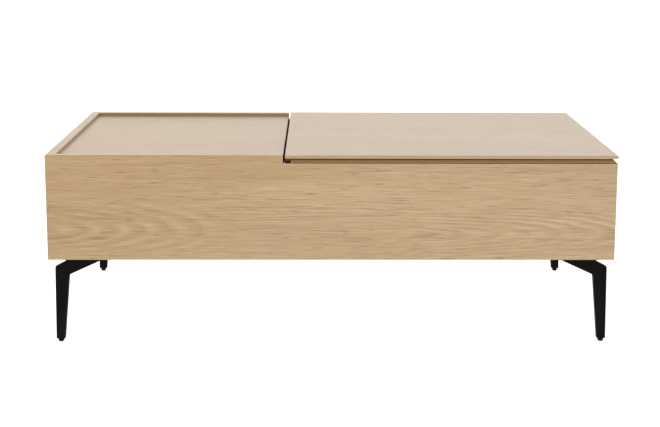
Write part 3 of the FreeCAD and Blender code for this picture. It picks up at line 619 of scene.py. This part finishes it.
up = Vector((0, 0, 1))
right, left = Vector((1, 0, 0)), Vector((-1, 0, 0))
middleX = sum(corner.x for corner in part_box("lid_panel")) / 2


def centreOf(low, high):
    return (low + high) / 2


# points at the low end of upright solids
def footPlaces(node):
    return [(Vector((*centreOf(low, high).xy, low.z)), up) for low, high in solidsOf(node)]


# points on the outer end of solids that lie along X: outer means away from the middle of the lid's bay
def sidePlaces(node, fromOuter=True):
    places = []
    for low, high in solidsOf(node):
        centre = centreOf(low, high)
        onLeft = centre.x < middleX
        outerX = low.x if onLeft else high.x
        innerX = high.x if onLeft else low.x
        inward = right if onLeft else left
        if fromOuter:
            places.append((Vector((outerX, centre.y, centre.z)), inward))
        else:
            places.append((Vector((innerX, centre.y, centre.z)), -inward))
    return places


shortScrew = screwTemplate("shortScrew", screw["short"])
longScrew = screwTemplate("longScrew", screw["long"])
spinRound = 2 * math.pi
for name, node, model, places, seed in (
    ("leg_screws_cut", "leg_screws", shortScrew, footPlaces("leg_screws"), 3),
    ("tray_screws_cut", "tray_screws", longScrew, footPlaces("tray_screws"), 5),
    ("lid_bracket_screws", "top_bracket_screws", shortScrew, footPlaces("top_bracket_screws"), 7),
    ("case_bracket_screws", "base_bracket_screws", shortScrew, sidePlaces("base_bracket_screws", False), 9),
):
    scatterPieces(name, node, model, places, zincSteel, spinRound, seed)
print("screws placed")

pin = {
    "radius": 0.004, "headRadius": 0.007, "tailRadius": 0.006, "head": 0.002, "edge": 0.0006,
    "dimple": 0.0012, "dimpleRim": 1.8, "dimpleFloor": 0.6, "dimpleDepth": 0.4,
}


# a rivet head's outline from its flat side: straight edge, rounded rim and a shallow dimple in the middle
def headSteps(start, radius):
    top, edge, dimple = start + pin["head"], pin["edge"], pin["dimple"]
    steps = [(start, radius)]
    for i in range(5):
        angle = math.pi / 2 * i / 4
        steps.append((top - edge + edge * math.sin(angle), radius - edge + edge * math.cos(angle)))
    sunk = top - dimple * pin["dimpleDepth"]
    steps += [(top, dimple * pin["dimpleRim"]), (sunk, dimple * pin["dimpleFloor"]), (sunk, 0)]
    return steps


def mirrorSteps(steps, about):
    return [(2 * about - height, radius) for height, radius in reversed(steps)]


baseLow, baseHigh = solidsOf("base_pivot_pins")[0]
baseHead = baseHigh.x - baseLow.x - pin["head"]
baseSteps = [(0, 0), (0, pin["radius"]), (baseHead, pin["radius"])] + headSteps(baseHead, pin["headRadius"])
basePin = asTemplate(turnedMesh("basePin", baseSteps))
scatterPieces("base_rivets", "base_pivot_pins", basePin, sidePlaces("base_pivot_pins"), zincSteel)
topLow, topHigh = solidsOf("top_pivot_pins")[0]
tailStart = topHigh.x - topLow.x - pin["head"]
outerHead = mirrorSteps(headSteps(0, pin["headRadius"]), pin["head"] / 2)
shank = [(pin["head"], pin["radius"]), (tailStart, pin["radius"])]
topPin = asTemplate(turnedMesh("topPin", outerHead + shank + headSteps(tailStart, pin["tailRadius"])))
scatterPieces("lid_rivets", "top_pivot_pins", topPin, sidePlaces("top_pivot_pins"), zincSteel)

washer = {"radius": 0.009, "hole": 0.004, "thick": 0.001, "edge": 0.0002, "segments": 40}
thick, hole, wide = washer["thick"], washer["hole"], washer["radius"]
flatWide, topEdge = wide - washer["edge"], thick - washer["edge"]
washerSteps = [
    (0, hole), (0, flatWide), (washer["edge"], wide), (topEdge, wide), (thick, flatWide), (thick, hole),
    (0, hole),
]
washerRing = asTemplate(turnedMesh("washerRing", washerSteps, washer["segments"]))
scatterPieces("base_washers", "base_pivot_washers", washerRing, sidePlaces("base_pivot_washers"), nylon)
scatterPieces("lid_washers", "top_pivot_washers", washerRing, sidePlaces("top_pivot_washers"), nylon)

pad = {"radius": 0.0035, "thick": 0.001, "edge": 0.0004, "segments": 24}
padDisc = asTemplate(turnedMesh("padDisc", [
    (0, 0), (0, pad["radius"]), (pad["thick"] - pad["edge"], pad["radius"]),
    (pad["thick"], pad["radius"] - pad["edge"]), (pad["thick"], 0),
], pad["segments"]))
scatterPieces("lid_pads", "lid_bumpers", padDisc, footPlaces("lid_bumpers"), softPad)
for piece in templates:
    bpy.data.objects.remove(piece)
print("pins, washers and pads placed")


# floor, light and camera
room = {
    "floor": 0.55, "floorGlow": 0.9, "floorSize": 40, "floorRoughness": 0.9, "floorCloud": 0.02,
    "front": 0.8, "back": 1.5, "turnFrom": -0.2, "turnTo": 0.7,
    "zenith": 0.45, "bandLow": 0.3, "bandHigh": 0.8,
}
bpy.ops.mesh.primitive_plane_add(size=room["floorSize"])
floor = bpy.context.object
floor.name = "studio_floor"


def floorRecipe(start):
    x, y, z = start.node("ShaderNodeTexCoord", {}, {}, "Object").split()
    cloud = start.noise(x * 0.8, y * 0.8, 0.0, 1.0, 0.5)
    plain, paler = [(shade, shade, shade, 1) for shade in (room["floor"], room["floor"] + room["floorCloud"])]
    return {"Base Color": cloud.mixed(plain, paler)}


floor.data.materials.append(newMaterial("studio_floor", {
    "Roughness": room["floorRoughness"], "Emission Color": (1, 1, 1, 1),
    "Emission Strength": room["floorGlow"],
}, floorRecipe))

# a white studio, brighter behind the table than in front of it, and dimmer overhead
world = bpy.data.worlds.new("studio")
world.use_nodes = True
sky = Wire(world.node_tree)
east, north, height = sky.node("ShaderNodeTexCoord", {}, {}, "Generated").split()
front, back, zenith = [(*[room[part]] * 3, 1) for part in ("front", "back", "zenith")]
wall = north.between(room["turnFrom"], room["turnTo"]).mixed(front, back)
shade = height.between(room["bandLow"], room["bandHigh"]).mixed(wall, zenith)
world.node_tree.links.new(shade.socket, world.node_tree.nodes["Background"].inputs["Color"])
bpy.context.scene.world = world

overhead = {"place": (-0.8, -0.6, 2.6), "target": (0, 0, 0.2), "size": (2.4, 2.0), "power": 22.0}
softbox = bpy.data.lights.new("overhead_softbox", "AREA")
softbox.shape = "RECTANGLE"
softbox.size, softbox.size_y = overhead["size"]
softbox.energy = overhead["power"]
lamp = bpy.data.objects.new("overhead_softbox", softbox)
lamp.location = overhead["place"]
aim = Vector(overhead["target"]) - Vector(overhead["place"])
lamp.rotation_mode = "QUATERNION"
lamp.rotation_quaternion = aim.to_track_quat("-Z", "Y")
bpy.context.scene.collection.objects.link(lamp)

view = {
    "place": (-0.0269, -3.0334, 0.8379), "lens": 78.89, "yaw": 0.018, "pitch": 0.1809, "roll": 0.0045,
    "shiftX": -0.0215, "shiftY": -0.06, "sensor": 36,
}
cameraData = bpy.data.cameras.new("camera")
cameraData.lens = view["lens"]
cameraData.sensor_width = view["sensor"]
cameraData.shift_x = view["shiftX"]
cameraData.shift_y = view["shiftY"]
camera = bpy.data.objects.new("camera", cameraData)
camera.location = view["place"]
turn = (
    Matrix.Rotation(-view["yaw"], 4, "Z") @ Matrix.Rotation(math.pi / 2 - view["pitch"], 4, "X")
    @ Matrix.Rotation(view["roll"], 4, "Z")
)
camera.rotation_mode = "QUATERNION"
camera.rotation_quaternion = turn.to_quaternion()
bpy.context.scene.collection.objects.link(camera)
bpy.context.scene.camera = camera
bpy.context.scene.view_settings.view_transform = "Standard"
print("studio ready")
